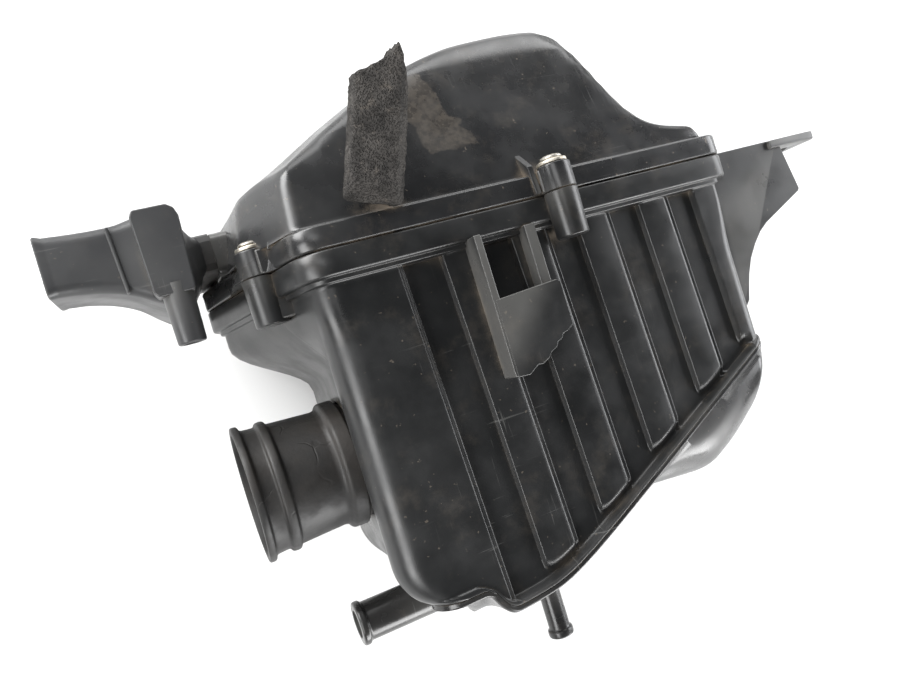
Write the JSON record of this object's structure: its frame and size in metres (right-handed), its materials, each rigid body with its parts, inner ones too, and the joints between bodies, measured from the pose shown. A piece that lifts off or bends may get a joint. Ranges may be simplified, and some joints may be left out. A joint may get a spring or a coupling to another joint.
{
  "type": "motorcycle air filter housing",
  "caption": "Moulded plastic air filter housing: domed cover screwed to a ribbed case, with side intake snorkel, rubber outlet duct, bottom cap and lift-out pleated element.",
  "frame": {"origin": "middle of the base of the whole housing as it lies on its back", "axes": "+Z points out of the ribbed front face, +X runs along the flange towards the bracket, +Y runs from the case to the cover, the way the cover lifts off"},
  "size_m": [0.3264, 0.2314, 0.1388],
  "materials": {
    "cover_plastic": "satin black moulded polypropylene, scuffed, brown dust in the corners",
    "case_plastic": "satin black moulded polypropylene with soft highlights, fine scratches",
    "cap_plastic": "satin black moulded polypropylene, brownish dust film",
    "snorkel_plastic": "satin black moulded plastic, lighter worn rim",
    "duct_rubber": "aged black rubber, dusty brown, fine cracks",
    "seal_rubber": "matt black rubber cord",
    "element_frame_plastic": "matt grey-black plastic",
    "filter_paper": "resin-treated pleated paper, used, dusty",
    "element_lip_rubber": "soft foam rubber lip",
    "foam": "open-cell foam, dark brown grey, torn at one end",
    "screw_steel": "zinc-plated steel, dulled",
    "washer_steel": "pale zinc-plated steel, dusty"
  },
  "bodies": {
    "case": {"lower_case": "case_plastic", "bottom_cap": "cap_plastic", "outlet_duct": "duct_rubber", "cover_seal": "seal_rubber"},
    "cover": {"upper_cover": "cover_plastic", "snorkel_seal": "seal_rubber", "foam_pad": "foam", "screw_washer_1": "washer_steel", "screw_washer_2": "washer_steel", "screw_washer_3": "washer_steel", "screw_washer_4": "washer_steel", "screw_washer_5": "washer_steel", "screw_washer_6": "washer_steel"},
    "snorkel": {"intake_snorkel": "snorkel_plastic"},
    "element": {"element_frame": "element_frame_plastic", "element_media": "filter_paper", "element_seal": "element_lip_rubber"},
    "screw_1": {"cover_screw_1": "screw_steel"},
    "screw_2": {"cover_screw_2": "screw_steel"},
    "screw_3": {"cover_screw_3": "screw_steel"},
    "screw_4": {"cover_screw_4": "screw_steel"},
    "screw_5": {"cover_screw_5": "screw_steel"},
    "screw_6": {"cover_screw_6": "screw_steel"}
  },
  "joints": [
    {"name": "cover_lift", "type": "slide", "parent": "case", "child": "cover", "axis": [0, 1, 0], "range_m": [0, 0.11]},
    {"name": "element_lift", "type": "slide", "parent": "case", "child": "element", "axis": [0, 1, 0], "range_m": [0, 0.055]},
    {"name": "snorkel_pull", "type": "slide", "parent": "cover", "child": "snorkel", "axis": [-1, 0, 0], "range_m": [0, 0.016]},
    {"name": "screw_1_out", "type": "slide", "parent": "cover", "child": "screw_1", "axis": [0, 1, 0], "range_m": [0, 0.026]},
    {"name": "screw_2_out", "type": "slide", "parent": "cover", "child": "screw_2", "axis": [0, 1, 0], "range_m": [0, 0.026]},
    {"name": "screw_3_out", "type": "slide", "parent": "cover", "child": "screw_3", "axis": [0, 1, 0], "range_m": [0, 0.026]},
    {"name": "screw_4_out", "type": "slide", "parent": "cover", "child": "screw_4", "axis": [0, 1, 0], "range_m": [0, 0.026]},
    {"name": "screw_5_out", "type": "slide", "parent": "cover", "child": "screw_5", "axis": [0, 1, 0], "range_m": [0, 0.026]},
    {"name": "screw_6_out", "type": "slide", "parent": "cover", "child": "screw_6", "axis": [0, 1, 0], "range_m": [0, 0.026]}
  ],
  "couplings": [
    {"joint": "element_lift", "follows": "cover_lift", "ratio": 0.5}
  ]
}
